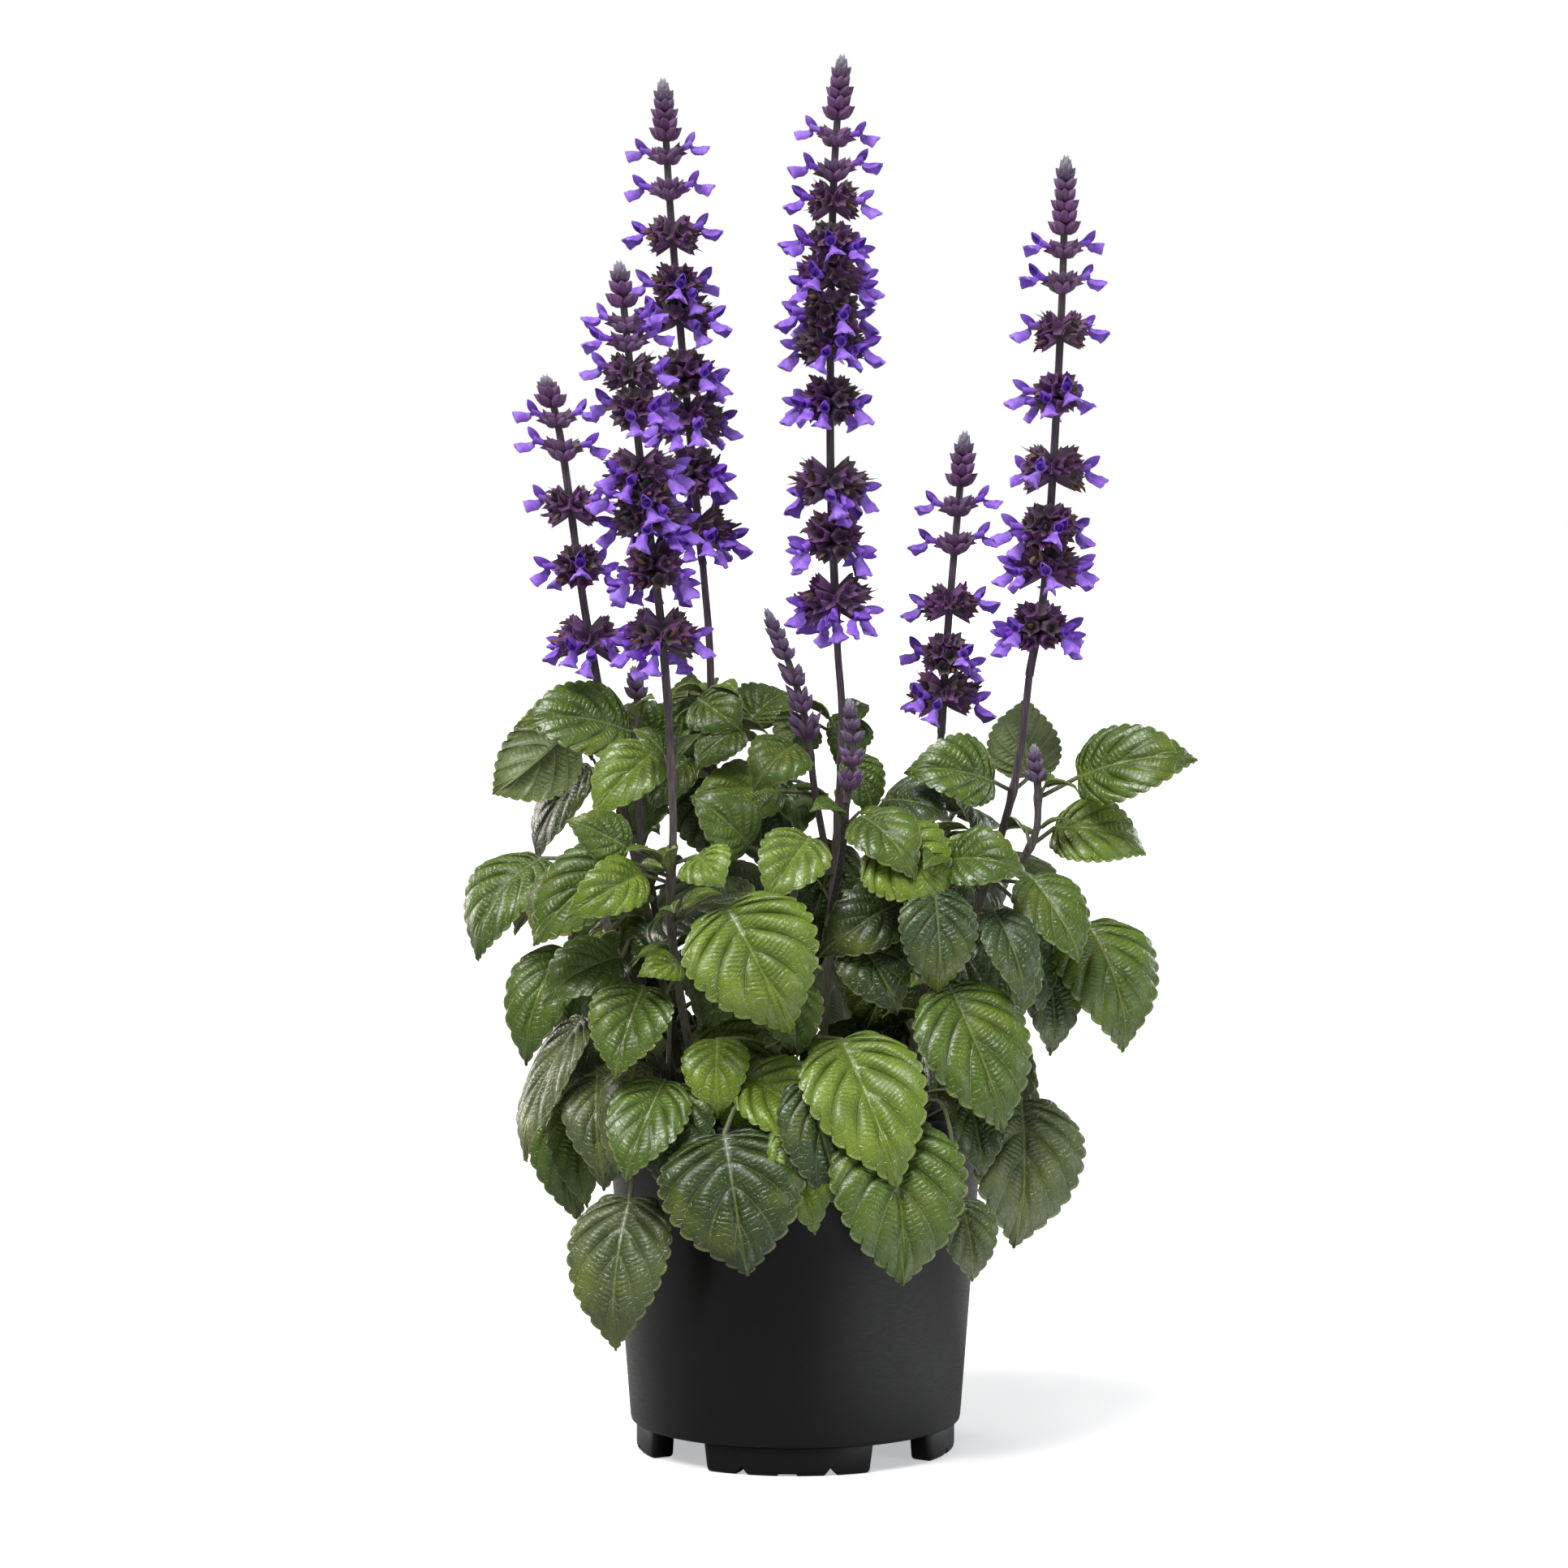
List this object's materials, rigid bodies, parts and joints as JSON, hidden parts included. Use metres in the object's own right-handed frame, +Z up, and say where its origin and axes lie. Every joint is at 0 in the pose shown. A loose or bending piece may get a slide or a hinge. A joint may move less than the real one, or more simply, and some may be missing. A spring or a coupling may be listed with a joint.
{
  "type": "potted salvia plant",
  "caption": "Violet-flowered salvia in a black nursery pot: leafy square stems, flower spikes with whorls of plum calyces, broad toothed leaves, a footed pot filled with soil.",
  "frame": {"origin": "on the ground under the middle of the plant's spread; the pot's axis stands at x = -0.0139, y = -0.0151", "axes": "+Z up, -Y towards the viewer of the picture, +X to that viewer's right"},
  "size_m": [0.3171, 0.2504, 0.6034],
  "materials": {
    "pot_plastic": "satin",
    "potting_soil": "matte",
    "leaf_green": "satin",
    "flower_violet": "matte",
    "bud_plum": "matte"
  },
  "bodies": {
    "root": {"pot": "pot_plastic", "soil": "potting_soil", "leafy_stem_a": "leaf_green", "leafy_stem_b": "leaf_green", "leafy_stem_c": "leaf_green", "leafy_stem_d": "leaf_green", "leafy_stem_e": "leaf_green", "leafy_stem_f": "leaf_green", "leafy_stem_k": "leaf_green", "leafy_stem_l": "leaf_green", "leafy_stem_m": "leaf_green", "leafy_stem_n": "leaf_green", "leafy_stem_p": "leaf_green", "leafy_stem_q": "leaf_green", "leafy_stem_r": "leaf_green", "flower_spike_a": "flower_violet", "flower_spike_b": "flower_violet", "flower_spike_c": "flower_violet", "flower_spike_d": "flower_violet", "flower_spike_e": "flower_violet", "flower_spike_f": "flower_violet", "bud_spike_g": "bud_plum", "bud_spike_h": "bud_plum", "bud_spike_i": "bud_plum", "bud_spike_j": "bud_plum"}
  },
  "joints": []
}
